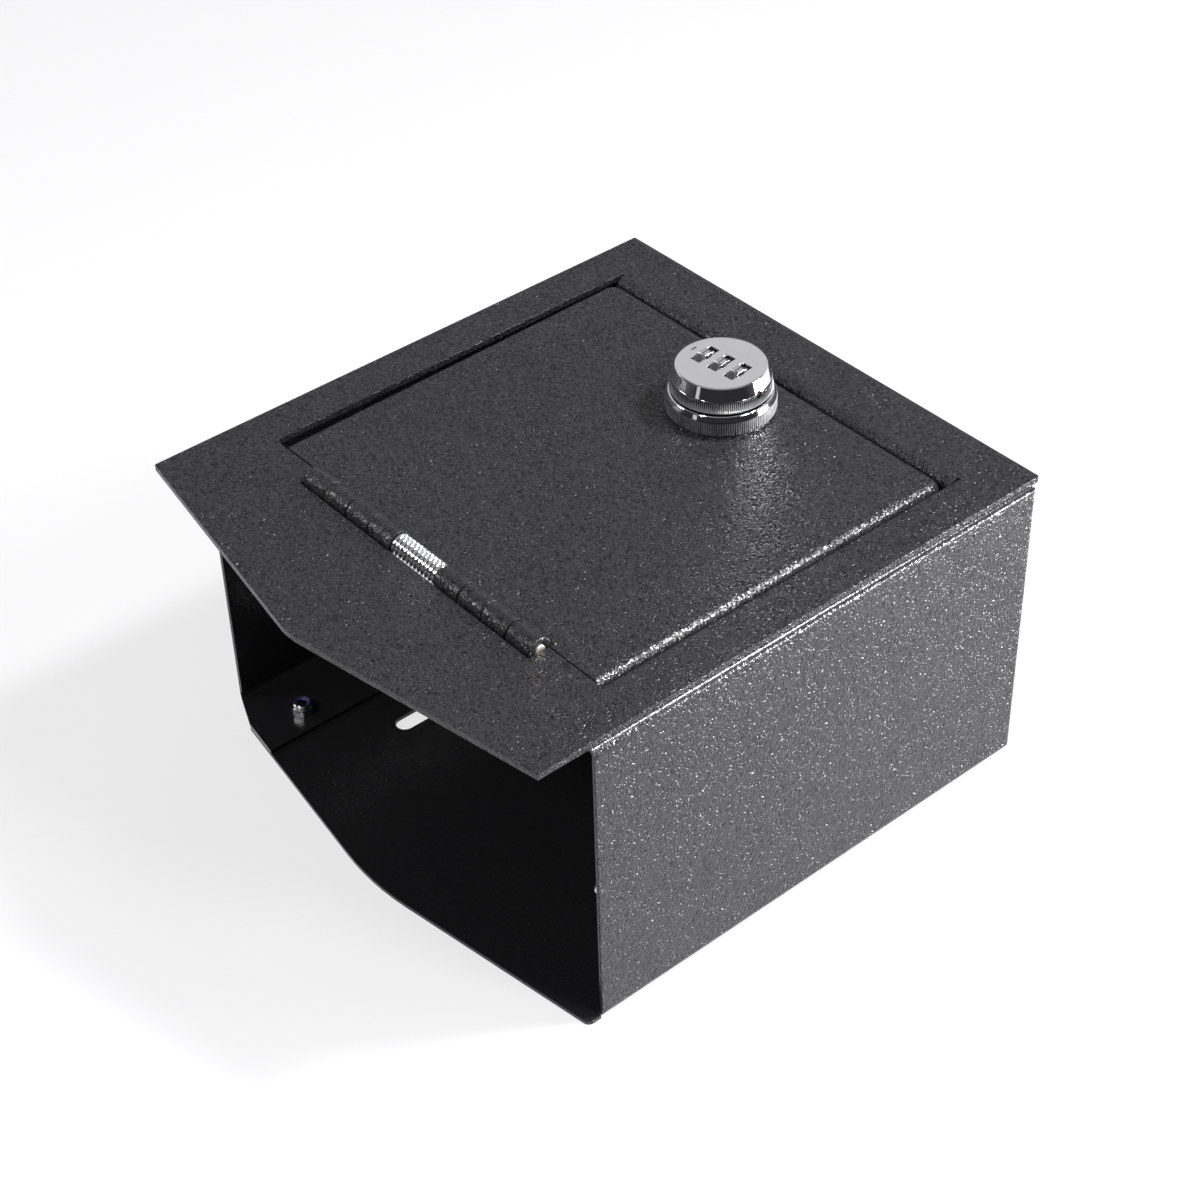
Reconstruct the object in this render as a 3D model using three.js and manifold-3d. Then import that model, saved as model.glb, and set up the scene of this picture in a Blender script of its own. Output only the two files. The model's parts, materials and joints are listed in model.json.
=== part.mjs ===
// Console safe: a folded steel box with a chevron front, a sprung lid and a combination knob lock.
// Millimetres. +Z is up, +X runs along the hinge, -Y faces the open front, +Y is the lock side.
// The origin is on the floor at the middle of the overall length and width.
// The lid is shut and the cam is turned free of the strike flange.

import * as THREE from 'three';
import { mergeVertices } from 'three/addons/utils/BufferGeometryUtils.js';
import Module from 'manifold-3d';

const wasm = await Module();
wasm.setup();

const degrees = Math.PI / 180;

// Box and face plate
const length = 228;             // nose tip to back edge of the face plate
const plateWidth = 200;
const wallProud = 1.6;          // side wall past the face plate's edge
const height = 118;             // floor to the top of the face plate
const plateT = 2.5;
const sheetT = 1.5;
const bendInside = 1.5;
const noseAngle = 9.65 * degrees;
const plateNoseRadius = 28;
const floorNoseAngle = 8.6 * degrees;
const floorNoseRadius = 110;
const floorMiddleX = 4.7;       // middle of the floor's chevron and of its slots, away from the foot flange
const plateCornerRadius = 0.6;
const floorCornerRadius = 2.5;
const backOverhang = 1.4;       // face plate past the back wall
const frontOverhang = 20;       // face plate corner past the front edge of a side wall
const floorReach = 5.6;         // floor corner past the front edge of the right wall
const topFlange = 16;
const flangeMitre = 1;          // slit between the top flanges of the right and back walls
const reliefSlit = 0.4;         // between the floor's corner and the foot of the right wall
const fitGap = 0.3;             // between pieces that seat on each other

// Left wall, bolted through its foot flange
const footFlange = 32.3;
const floorLap = 16.7;          // how far the foot flange lies over the floor sheet
const studInset = 23.1;         // stud line from the wall's outer face
const studEnd = 11.5;           // first and last stud from the ends of the wall
const studR = 2;
const studHeadR = 3.6;
const studHeadT = 1;
const studLength = 7.3;
const studChamfer = 0.3;
const nutAcross = 7;
const nutT = 3.6;
const nutCollarT = 1.4;
const nutCollarR = 3.35;
const nutChamfer = 0.5;
const insertR = 2.9;
const insertT = 1;
const insertGap = 0.1;

// Bolt slots in the floor
const slotWidth = 7;
const slotLength = 26;
const slotSpacingX = 110.4;
const slotSpacingY = 98;

// Lid opening and strike flange
const openingWidth = 168;
const openingLength = 149;      // front edge to the strike flange's face
const openingCornerRadius = 1.5;
const backMargin = 24.4;        // strike flange's face to the back edge of the face plate
const strikeInside = 2;         // inside bend radius
const strikeDepth = 16;
const strikeRelief = 1.2;

// Lid
const lidT = 2.5;
const lidBendInside = 1;
const lidDepth = 10;
const lidCornerRadius = 5;
const lidGapFront = 0.5;
const lidGapBack = 0.7;
const lidGapRight = 1.6;
const lidGapLeftBack = 1.3;
const lidGapLeftHinge = 4;      // the lid is trimmed narrower at its hinge end, on this side only
const restT = 2;
const restWidth = 14;
const restReach = 8;
const restSpacing = 120;
const restGap = 0.3;

// Hinge
const hingeLength = 117.3;
const springWindow = 22.7;
const knucklesPerSide = 4;
const knuckleGap = 0.4;
const pinR = 2;
const pinProud = 0.1;
const pinChamfer = 0.4;
const pinClearance = 0.3;
const leafT = 2.2;
const leafWidth = 26;
const springNotch = 22;         // length of the leaf's notch for the spring's leg
const rollAngle = 290 * degrees;
const hingeSetback = 2.9;       // hinge axis in front of the opening's edge
const hingeClearance = 0.4;

// Spring
const wireR = 0.8;
const springTurns = 10;
const springLeg = 20;
const springEndGap = 0.1;
const springRunIn = 0.2;        // coil inside the knuckles' radius
const springSteps = 8;
const springSides = 5;

// Lock
const lockX = 1.8;
const lockSetback = 25.9;       // lock axis from the strike flange's face
const knobRestTurn = 4.6 * degrees; // how far the knob stands turned from square to the lid
const ringR = 19.1;
const ringFootR = 18.3;
const ringFootT = 0.8;
const ringRimZ = 6.3;
const ringTopR = 17.1;
const ringTopZ = 8.2;
const knurlDepth = 0.35;
const knurlRunout = 0.5;
const knurlTeeth = 72;
const rimBreak = 0.4;
const threadR = 9.5;
const threadLength = 16;
const threadFlat = 8.2;
const lockHoleClearance = 0.3;
const pocketFloor = 2;
const knobGap = 0.8;            // under the knob's skirt
const knobR = 17.7;
const knobShoulderR = 17.1;
const knobShoulderZ = 13.6;
const knobFaceR = 15.4;
const knobFaceZ = 17.9;
const knobEdge = 0.35;
const rotorR = 14.4;
const rotorClearance = 0.4;
const discT = 2;
const discGap = 0.5;            // under the spindle's disc
const spindleR = 5;
const squareAcross = 7;
const lockNutAcross = 26;
const lockNutT = 5;
const lockWasherR = 14.5;
const lockWasherT = 1;
const camT = 2.5;
const camReach = 36;
const camHeadR = 9;
const camTipR = 6;
const camWasherR = 7;
const camWasherT = 1;
const camScrewR = 2.7;
const camScrewGrip = 8;
const camScrewAcross = 10;
const camScrewHeadT = 4;

// Digit wheels
const wheelCount = 3;
const wheelPitch = 7.45;
const wheelT = 3.6;
const wheelR = 5.9;
const wheelNotch = 0.6;
const wheelDigits = 10;
const wheelFaceAngle = 14 * degrees;
const wheelProud = 1.1;
const wheelClearance = 0.4;
const wheelSideGap = 0.3;
const windowSideGap = 0.2;
const windowLength = 10;
const windowSkin = 1.2;
const axleR = 1;
const axleRecess = 1.5;
const markX = 12.6;
const markLength = 2.2;
const markWidth = 0.7;
const markDepth = 0.25;
const detentT = 0.4;
const detentWidth = 3;
const detentBaseLength = 20;
const detentBaseWidth = 8;
const detentRecess = 0.8;

// Facets
const roundSides = 48;
const smallSides = 16;
const arcSteps = 6;
const detentSteps = 12;
const past = 5;                 // how far a cutter runs past what it cuts
const leastRadius = 0.2;

// Places worked out from the sizes
const plateUnder = height - plateT;
const plateBack = length / 2;
const noseSlope = Math.tan(noseAngle);
const plateApex = -length / 2 - plateNoseRadius * (1 / Math.cos(noseAngle) - 1);
const plateCornerY = plateApex + (plateWidth / 2) * noseSlope;
const wallX = plateWidth / 2 + wallProud;
const wallBack = plateBack - backOverhang;
const wallFront = plateCornerY + frontOverhang;
const wallMiddle = (wallBack + wallFront) / 2;
const bendOutside = bendInside + sheetT;
const floorSlope = Math.tan(floorNoseAngle);
const floorApexY = wallFront - floorReach - (wallX - floorMiddleX) * floorSlope;
const floorLeft = -wallX + footFlange - floorLap;
const strikeFace = plateBack - backMargin;
const strikeOutside = strikeInside + plateT;
const strikeBottom = height - strikeDepth;
const openingFront = strikeFace - openingLength;
const barrelR = pinR + pinClearance + leafT;
const hingeY = openingFront - hingeSetback;
const hingeZ = plateUnder - leafT + barrelR;
const knucklePitch = (hingeLength - springWindow) / 2 / knucklesPerSide;
const lidTop = plateUnder + lidT;
const lidFront = openingFront + lidGapFront;
const lidBack = strikeFace - lidGapBack;
const lockY = strikeFace - lockSetback;
const wheelAxisZ = knobFaceZ + wheelProud - wheelR;
const threadEnd = -threadLength;
const camTopZ = threadEnd - fitGap;
const camBottomZ = camTopZ - camT;
const screwSeatZ = camBottomZ - camWasherT;
const discBottomZ = pocketFloor + discGap;
const discTopZ = discBottomZ + discT;
const bossBottomZ = discTopZ + fitGap;
const skirtZ = ringTopZ + knobGap;

// Finishes
function finish(color, metalness, roughness) {
  return new THREE.MeshStandardMaterial({ color, metalness, roughness });
}

const finishes = {
  coat: () => finish(0x232326, 0.2, 0.5),
  chrome: () => finish(0xd4d4d6, 1, 0.12),
  steel: () => finish(0xb4b4b6, 1, 0.3),
  zinc: () => finish(0xc0c2c4, 1, 0.28),
  brass: () => finish(0xb08a4a, 1, 0.35),
  nylon: () => finish(0x2438a0, 0, 0.5),
};

// Outlines

const leftOf = (direction) => new THREE.Vector2(-direction.y, direction.x);

// A closed loop of points round corners [x, y, radius], anticlockwise, moved inwards by inset.
function roundedLoop(corners, inset = 0, steps = arcSteps) {
  const points = [];
  const count = corners.length;
  const at = (i) => new THREE.Vector2(...corners[(i + count) % count].slice(0, 2));
  for (let i = 0; i < count; i += 1) {
    const into = at(i).sub(at(i - 1)).normalize();
    const out = at(i + 1).sub(at(i)).normalize();
    const turn = Math.atan2(into.cross(out), into.dot(out));
    const bulge = Math.sign(turn);
    const inward = new THREE.Vector2(-into.y - out.y, into.x + out.x).divideScalar(1 + into.dot(out));
    const corner = at(i).addScaledVector(inward, inset);
    if (corners[i][2] === 0) {
      points.push(corner);
      continue;
    }
    const radius = Math.max(corners[i][2] - bulge * inset, leastRadius);
    const start = corner.clone().addScaledVector(into, -radius * Math.tan(Math.abs(turn) / 2));
    const centre = start.clone().addScaledVector(leftOf(into), bulge * radius);
    for (let k = 0; k <= steps; k += 1) {
      points.push(start.clone().rotateAround(centre, (turn * k) / steps));
    }
  }
  return points;
}

const shapeOf = (corners) => new THREE.Shape(roundedLoop(corners));

// The section of a folded sheet, from its mid-line, with round bends.
function foldedStrip(midline, thickness, insideRadius) {
  const radius = insideRadius + thickness / 2;
  const corners = midline.map(([x, y]) => new THREE.Vector2(x, y));
  const last = corners.length - 1;
  const path = [];
  corners.forEach((point, i) => {
    const into = point.clone().sub(corners[Math.max(i - 1, 0)]).normalize();
    const out = corners[Math.min(i + 1, last)].clone().sub(point).normalize();
    if (i === 0 || i === last) {
      path.push([point, i === 0 ? out : into]);
      return;
    }
    const turn = Math.atan2(into.cross(out), into.dot(out));
    const start = point.clone().addScaledVector(into, -radius * Math.tan(Math.abs(turn) / 2));
    const centre = start.clone().addScaledVector(leftOf(into), Math.sign(turn) * radius);
    for (let k = 0; k <= arcSteps; k += 1) {
      const angle = (turn * k) / arcSteps;
      const along = into.clone().rotateAround(new THREE.Vector2(), angle);
      path.push([start.clone().rotateAround(centre, angle), along]);
    }
  });
  const side = (offset) => path.map(([p, along]) => leftOf(along).multiplyScalar(offset).add(p));
  return new THREE.Shape([...side(-thickness / 2), ...side(thickness / 2).reverse()]);
}

function regularPolygon(across, sides) {
  const radius = across / 2 / Math.cos(Math.PI / sides);
  const shape = new THREE.Shape();
  for (let i = 0; i < sides; i += 1) {
    const angle = ((i + 0.5) * 2 * Math.PI) / sides;
    shape[i ? 'lineTo' : 'moveTo'](radius * Math.cos(angle), radius * Math.sin(angle));
  }
  return shape;
}

// Solids

function extrude(shape, depth, sides = arcSteps) {
  return new THREE.ExtrudeGeometry(shape, { depth, bevelEnabled: false, curveSegments: sides });
}

const alongZ = (shape, z0, z1, sides) => extrude(shape, z1 - z0, sides).translate(0, 0, z0);

// The shape's x and y become y and z.
function alongX(shape, x0, x1) {
  const turn = new THREE.Matrix4().makeBasis(
    new THREE.Vector3(0, 1, 0), new THREE.Vector3(0, 0, 1), new THREE.Vector3(1, 0, 0));
  return extrude(shape, x1 - x0).applyMatrix4(turn).translate(x0, 0, 0);
}

// The shape's x and y become x and z.
function alongY(shape, y0, y1) {
  const turn = new THREE.Matrix4().makeBasis(
    new THREE.Vector3(1, 0, 0), new THREE.Vector3(0, 0, 1), new THREE.Vector3(0, -1, 0));
  return extrude(shape, y1 - y0).applyMatrix4(turn).translate(0, y1, 0);
}

function box(x0, x1, y0, y1, z0, z1) {
  return new THREE.BoxGeometry(x1 - x0, y1 - y0, z1 - z0)
    .translate((x0 + x1) / 2, (y0 + y1) / 2, (z0 + z1) / 2);
}

// A solid of revolution about Z through (x, y), from [radius, z] points that start and end on the axis.
function turned(profile, sides = roundSides, x = 0, y = 0) {
  const points = profile.map(([r, z]) => new THREE.Vector2(r, z));
  return new THREE.LatheGeometry(points, sides).rotateX(Math.PI / 2).translate(x, y, 0);
}

const rod = (radius, z0, z1, sides = roundSides, x = 0, y = 0) =>
  turned([[0, z0], [radius, z0], [radius, z1], [0, z1]], sides, x, y);

// Rings of equal point counts, joined side to side, with flat or domed ends.
function loft(rings) {
  const count = rings[0].length;
  const positions = [];
  const index = [];
  rings.forEach((ring) => ring.forEach((p) => positions.push(p.x, p.y, p.z)));
  for (let r = 0; r + 1 < rings.length; r += 1) {
    for (let i = 0; i < count; i += 1) {
      const j = (i + 1) % count;
      const [a, b, c, d] = [r * count + i, r * count + j, (r + 1) * count + j, (r + 1) * count + i];
      index.push(a, b, c, a, c, d);
    }
  }
  [[0, true], [rings.length - 1, false]].forEach(([r, flip]) => {
    const middle = rings[r].reduce((sum, p) => sum.add(p), new THREE.Vector3()).divideScalar(count);
    const tip = positions.length / 3;
    positions.push(middle.x, middle.y, middle.z);
    for (let i = 0; i < count; i += 1) {
      const j = (i + 1) % count;
      index.push(tip, r * count + (flip ? j : i), r * count + (flip ? i : j));
    }
  });
  const geometry = new THREE.BufferGeometry();
  geometry.setAttribute('position', new THREE.Float32BufferAttribute(positions, 3));
  geometry.setIndex(index);
  return geometry;
}

const level = (loop, z) => loop.map((p) => new THREE.Vector3(p.x, p.y, z));

// A turning with straight knurling, from rings of [radius, z, tooth depth].
function knurled(rings) {
  const count = knurlTeeth * 2;
  return loft(rings.map(([radius, z, depth = 0]) => Array.from({ length: count }, (_, i) => {
    const angle = (i * 2 * Math.PI) / count;
    const r = radius - (i % 2) * depth;
    return new THREE.Vector3(r * Math.cos(angle), r * Math.sin(angle), z);
  })));
}

// Joins and cuts

function manifoldOf(geometry) {
  const bare = geometry.clone();
  bare.deleteAttribute('normal');
  bare.deleteAttribute('uv');
  const merged = mergeVertices(bare, 1e-5);
  const solid = new wasm.Manifold(new wasm.Mesh({
    numProp: 3,
    vertProperties: Float32Array.from(merged.getAttribute('position').array),
    triVerts: Uint32Array.from(merged.getIndex().array),
  }));
  return solid;
}

function geometryOf(solid) {
  const mesh = solid.getMesh();
  const geometry = new THREE.BufferGeometry();
  geometry.setAttribute('position', new THREE.BufferAttribute(mesh.vertProperties, 3));
  geometry.setIndex(new THREE.BufferAttribute(mesh.triVerts, 1));
  const flat = geometry.toNonIndexed();
  flat.computeVertexNormals();
  return flat;
}

function joined(...geometries) {
  return geometryOf(geometries.map(manifoldOf).reduce((a, b) => a.add(b)));
}

function cut(geometry, ...cutters) {
  return geometryOf(cutters.map(manifoldOf).reduce((a, b) => a.subtract(b), manifoldOf(geometry)));
}

function common(...geometries) {
  return geometryOf(geometries.map(manifoldOf).reduce((a, b) => a.intersect(b)));
}

const safe = new THREE.Group();

function piece(name, geometry, material, holder = safe) {
  const mesh = new THREE.Mesh(geometry, material);
  mesh.name = name;
  holder.add(mesh);
  return mesh;
}

// Face plate: chevron outline, lid opening with the hinge notch, strike flange with relief slits

function facePlate() {
  const halfPlate = plateWidth / 2;
  const outline = shapeOf([
    [-halfPlate, plateCornerY, plateCornerRadius],
    [0, plateApex, plateNoseRadius],
    [halfPlate, plateCornerY, plateCornerRadius],
    [halfPlate, plateBack, plateCornerRadius],
    [-halfPlate, plateBack, plateCornerRadius],
  ]);
  const halfOpening = openingWidth / 2;
  const halfNotch = hingeLength / 2 + hingeClearance;
  const notchFront = hingeY - barrelR - hingeClearance;
  const openingBack = strikeFace + strikeOutside;
  outline.holes.push(new THREE.Path(roundedLoop([
    [-halfOpening, openingFront, openingCornerRadius],
    [-halfNotch, openingFront, 0],
    [-halfNotch, notchFront, 0],
    [halfNotch, notchFront, 0],
    [halfNotch, openingFront, 0],
    [halfOpening, openingFront, openingCornerRadius],
    [halfOpening, openingBack, 0],
    [-halfOpening, openingBack, 0],
  ])));
  const midZ = height - plateT / 2;
  const midY = strikeFace + plateT / 2;
  const bend = [[openingBack + plateT, midZ], [midY, midZ], [midY, strikeBottom]];
  const strike = foldedStrip(bend, plateT, strikeInside);
  const halfStrike = halfOpening - strikeRelief;
  return joined(alongZ(outline, plateUnder, height), alongX(strike, -halfStrike, halfStrike));
}

// Main shell: floor, right wall and back wall folded from one sheet, with flanges under the face plate

// A block with its right and back edges rounded, moved inwards by inset on those sides and top and bottom.
function shellBlock(inset, leftX, frontY) {
  const radius = bendOutside - inset;
  const right = wallX - inset;
  const back = wallBack - inset;
  const top = plateUnder - inset;
  const acrossX = shapeOf([[leftX, inset, 0], [right, inset, radius], [right, top, radius], [leftX, top, 0]]);
  const acrossY = shapeOf([[frontY, inset, 0], [back, inset, radius], [back, top, radius], [frontY, top, 0]]);
  const plan = shapeOf([[leftX, frontY, 0], [right, frontY, 0], [right, back, radius], [leftX, back, 0]]);
  return common(alongY(acrossX, frontY, back), alongX(acrossY, leftX, right), alongZ(plan, inset, top));
}

const floorLineY = (x) => floorApexY + Math.abs(x - floorMiddleX) * floorSlope;

function floorTongue() {
  const right = wallX - reliefSlit;
  const bendStart = wallX - bendOutside;
  const slitY = wallFront - reliefSlit;
  return alongZ(shapeOf([
    [floorLeft, floorLineY(floorLeft), 0],
    [floorMiddleX, floorApexY, floorNoseRadius],
    [right, floorLineY(right), floorCornerRadius],
    [right, slitY, 0],
    [bendStart, slitY, 0],
    [bendStart, wallFront + past, 0],
    [floorLeft, wallFront + past, 0],
  ]), 0, sheetT);
}

function boltSlot(x, y) {
  const endR = slotWidth / 2;
  const reach = slotLength / 2 - endR;
  const outline = new THREE.Shape();
  outline.absarc(x, y + reach, endR, 0, Math.PI, false);
  outline.absarc(x, y - reach, endR, Math.PI, 2 * Math.PI, false);
  return alongZ(outline, -past, sheetT + past);
}

const studYs = [wallFront + studEnd, wallMiddle, wallBack - studEnd];
const studX = -wallX + studInset;

// The slit runs from the meeting of the flanges' inner edges to the corner of the walls.
function topMitre() {
  const reach = topFlange * Math.SQRT2;
  const half = flangeMitre / 2;
  const slit = box(-reach, reach - bendOutside, -half, half, -bendOutside, past);
  return slit.rotateZ(Math.PI / 4).translate(wallX - topFlange, wallBack - topFlange, plateUnder);
}

function mainShell() {
  const flangeX = wallX - topFlange;
  const flangeY = wallBack - topFlange;
  const flangeLeft = -wallX + topFlange + fitGap;
  const top = plateUnder + past;
  const folded = cut(
    shellBlock(0, -wallX, wallFront),
    shellBlock(sheetT, -wallX - past, wallFront - past),
    box(-wallX - past, flangeX, wallFront - past, flangeY, plateUnder - sheetT - past, top),
    box(-wallX - past, floorLeft, wallFront - past, wallBack - bendOutside, -past, top),
    box(-wallX - past, floorLeft, wallFront - past, wallBack + past, -past, bendOutside),
    box(-wallX - past, flangeLeft, wallFront - past, wallBack + past, plateUnder - bendOutside, top),
    topMitre(),
  );
  const slots = [-1, 1].flatMap((sx) => [-1, 1].map((sy) =>
    boltSlot(floorMiddleX + (sx * slotSpacingX) / 2, wallMiddle + (sy * slotSpacingY) / 2)));
  const studHoles = studYs.map((y) => turned([
    [0, -past], [studHeadR + fitGap, -past], [studHeadR + fitGap, studHeadT],
    [studR + fitGap, studHeadT], [studR + fitGap, sheetT + past], [0, sheetT + past],
  ], smallSides, studX, y));
  return cut(joined(folded, floorTongue()), ...slots, ...studHoles);
}

// Left wall: wall, foot flange on the floor sheet, top flange under the face plate

function leftWall() {
  const footInner = -wallX + footFlange;
  const wallMid = -wallX + sheetT / 2;
  const footMid = sheetT * 1.5;
  const topMid = plateUnder - sheetT / 2;
  const topInner = -wallX + topFlange;
  const midline = [[footInner, footMid], [wallMid, footMid], [wallMid, topMid], [topInner, topMid]];
  const section = foldedStrip(midline, sheetT, bendInside);
  const end = wallBack - sheetT - fitGap;
  const flangeEnd = wallBack - bendOutside - fitGap;
  const bendEnd = -wallX + bendOutside;
  const bendTop = bendOutside + sheetT;
  const footTip = floorLineY(footInner);
  const inFront = alongZ(shapeOf([
    [-wallX, wallFront, 0],
    [-wallX - past, wallFront, 0],
    [-wallX - past, footTip - past, 0],
    [footInner + past, footTip - past, 0],
    [footInner + past, floorLineY(footInner + past), 0],
    [floorLeft, floorLineY(floorLeft), 0],
  ]), 0, bendTop);
  return cut(
    alongY(section, footTip - past, end),
    box(-wallX - past, footInner + past, footTip - past - 1, wallFront, bendTop, plateUnder + past),
    inFront,
    box(bendEnd, footInner + past, flangeEnd, end + past, -past, bendOutside + sheetT),
    box(bendEnd, footInner + past, flangeEnd, end + past, plateUnder - bendOutside, plateUnder + past),
    ...studYs.map((y) => rod(studR + fitGap, 0, sheetT * 2 + past, smallSides, studX, y)),
  );
}

function clinchStud(y) {
  return turned([
    [0, 0], [studHeadR, 0], [studHeadR, studHeadT - fitGap], [studR, studHeadT - fitGap],
    [studR, studLength - studChamfer], [studR - studChamfer, studLength], [0, studLength],
  ], smallSides, studX, y);
}

function ring(outer, inner, z0, z1, sides, x = 0, y = 0) {
  return cut(rod(outer, z0, z1, sides, x, y), rod(inner, z0 - past, z1 + past, sides, x, y));
}

const nutSeat = 2 * sheetT;
const collarSeat = nutSeat + nutT;

function lockingNut(y) {
  const hex = alongZ(regularPolygon(nutAcross, 6), nutSeat, collarSeat).translate(studX, y, 0);
  const cornerR = nutAcross / 2 + nutChamfer;
  const chamfer = turned([
    [0, nutSeat], [cornerR, nutSeat], [cornerR, collarSeat - nutChamfer],
    [nutAcross / 2, collarSeat], [0, collarSeat],
  ], smallSides, studX, y);
  const collar = rod(nutCollarR, nutSeat + nutT / 2, collarSeat + nutCollarT, smallSides, studX, y);
  return cut(
    joined(common(hex, chamfer), collar),
    rod(studR + fitGap, nutSeat - past, collarSeat + past, smallSides, studX, y),
    rod(insertR + insertGap, collarSeat, collarSeat + past, smallSides, studX, y),
  );
}

function nylonInsert(y) {
  const seat = collarSeat + insertGap;
  return ring(insertR, studR + fitGap, seat, seat + insertT, smallSides, studX, y);
}

piece('face_plate', facePlate(), finishes.coat());
piece('main_shell', mainShell(), finishes.coat());
piece('left_wall', leftWall(), finishes.coat());
['front', 'middle', 'rear'].forEach((place, i) => {
  piece(`clinch_stud_${place}`, clinchStud(studYs[i]), finishes.zinc());
  piece(`locking_nut_${place}`, lockingNut(studYs[i]), finishes.zinc());
  piece(`nylon_insert_${place}`, nylonInsert(studYs[i]), finishes.nylon());
});

// Lid rests: angles on the face of the strike flange

const restTop = lidTop - lidDepth - restGap;

function lidRest(x) {
  const tip = strikeFace - restReach;
  const inner = strikeFace - restT;
  const under = restTop - restT;
  const section = shapeOf([
    [strikeFace, strikeBottom, 0], [strikeFace, restTop, 0], [tip, restTop, 0],
    [tip, under, 0], [inner, under, 0], [inner, strikeBottom, 0],
  ]);
  return alongX(section, x - restWidth / 2, x + restWidth / 2);
}

piece('lid_rest_left', lidRest(-restSpacing / 2), finishes.coat());
piece('lid_rest_right', lidRest(restSpacing / 2), finishes.coat());

// Hinge: rolled knuckles on two leaves, round one pin, with a torsion spring in the middle window

// Section of a knuckle and the root of its leaf. side is 1 for the lid's leaf and -1 for the frame's.
function knuckleSection(side, rootY) {
  const points = [[rootY, -barrelR], [0, -barrelR]];
  const steps = roundSides / 2;
  const arc = (radius, i) => {
    const angle = -Math.PI / 2 - (rollAngle * i) / steps;
    return [radius * Math.cos(angle), radius * Math.sin(angle)];
  };
  for (let i = 1; i <= steps; i += 1) points.push(arc(barrelR, i));
  for (let i = steps; i >= 0; i -= 1) points.push(arc(barrelR - leafT, i));
  points.push([rootY, leafT - barrelR]);
  return new THREE.Shape(points.map(([y, z]) => new THREE.Vector2(hingeY + side * y, hingeZ + z)));
}

// Knuckles count outwards from the spring window on both sides, and every second one is the frame's.
function hingeLeaf(side) {
  const rootY = barrelR + hingeClearance;
  const knuckles = [];
  for (let i = 0; i < knucklesPerSide; i += 1) {
    if ((i % 2 === 1) === (side === -1)) {
      [-1, 1].forEach((way) => {
        const middle = way * (springWindow / 2 + (i + 0.5) * knucklePitch);
        const half = (knucklePitch - knuckleGap) / 2;
        knuckles.push(alongX(knuckleSection(side, rootY + leafT), middle - half, middle + half));
      });
    }
  }
  const half = (hingeLength - knuckleGap) / 2;
  const window = springWindow / 2;
  const plan = new THREE.Shape([
    [-half, rootY], [-half, leafWidth], [half, leafWidth], [half, rootY],
    [window, rootY], [window, springNotch], [-window, springNotch], [-window, rootY],
  ].map(([x, y]) => new THREE.Vector2(x, hingeY + side * y)));
  return joined(alongZ(plan, plateUnder - leafT, plateUnder), ...knuckles);
}

function hingePin() {
  const half = hingeLength / 2 + pinProud;
  const tipR = pinR - pinChamfer;
  const profile = [
    [0, -half], [tipR, -half], [pinR, pinChamfer - half],
    [pinR, half - pinChamfer], [tipR, half], [0, half],
  ];
  return turned(profile, smallSides).rotateY(Math.PI / 2).translate(0, hingeY, hingeZ);
}

// One unbroken wire: a leg under the face plate, the coil, and a leg under the lid.
function springWire() {
  const coilR = barrelR - wireR - springRunIn;
  const half = springWindow / 2 - springEndGap - wireR;
  const centre = new THREE.Vector3(0, hingeY, hingeZ);
  const section = (x, y, z, outwards, along) => ({
    at: new THREE.Vector3(x, y, z).add(centre), outwards, aside: along.cross(outwards).normalize(),
  });
  const leg = (x, y) => section(x, y, -coilR, new THREE.Vector3(0, 0, -1), new THREE.Vector3(0, 1, 0));
  const steps = springTurns * springSteps;
  const lead = (2 * half) / springTurns;
  const coil = Array.from({ length: steps + 1 }, (_, i) => {
    const angle = (i * 2 * Math.PI) / springSteps;
    const outwards = new THREE.Vector3(0, Math.sin(angle), -Math.cos(angle));
    const around = new THREE.Vector3(0, Math.cos(angle), Math.sin(angle));
    const along = around.multiplyScalar(2 * Math.PI * coilR).setX(lead);
    return section((2 * half * i) / steps - half, coilR * outwards.y, coilR * outwards.z, outwards, along);
  });
  return [leg(-half, -springLeg), leg(-half, -coilR), ...coil, leg(half, coilR), leg(half, springLeg)];
}

function hingeSpring() {
  const rings = springWire().map(({ at, outwards, aside }) => Array.from({ length: springSides }, (_, i) => {
    const angle = ((i + 0.5) * 2 * Math.PI) / springSides;
    const out = at.clone().addScaledVector(outwards, wireR * Math.cos(angle));
    return out.addScaledVector(aside, wireR * Math.sin(angle));
  }));
  let least = Infinity;
  rings.forEach((near, i) => rings.slice(i + springSteps / 2).forEach((far) => {
    near.forEach((p) => far.forEach((q) => {
      least = Math.min(least, p.distanceTo(q));
    }));
  }));
  console.log(`hinge spring: least gap to itself ${least.toFixed(2)} mm`);
  return loft(rings);
}

piece('hinge_frame_leaf', hingeLeaf(-1), finishes.coat());
piece('hinge_lid_leaf', hingeLeaf(1), finishes.coat());
piece('hinge_pin', hingePin(), finishes.steel());
piece('hinge_spring', hingeSpring(), finishes.steel());

// Lid panel: a pan with turned-down edges, cleared for the hinge and drilled for the lock

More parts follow.
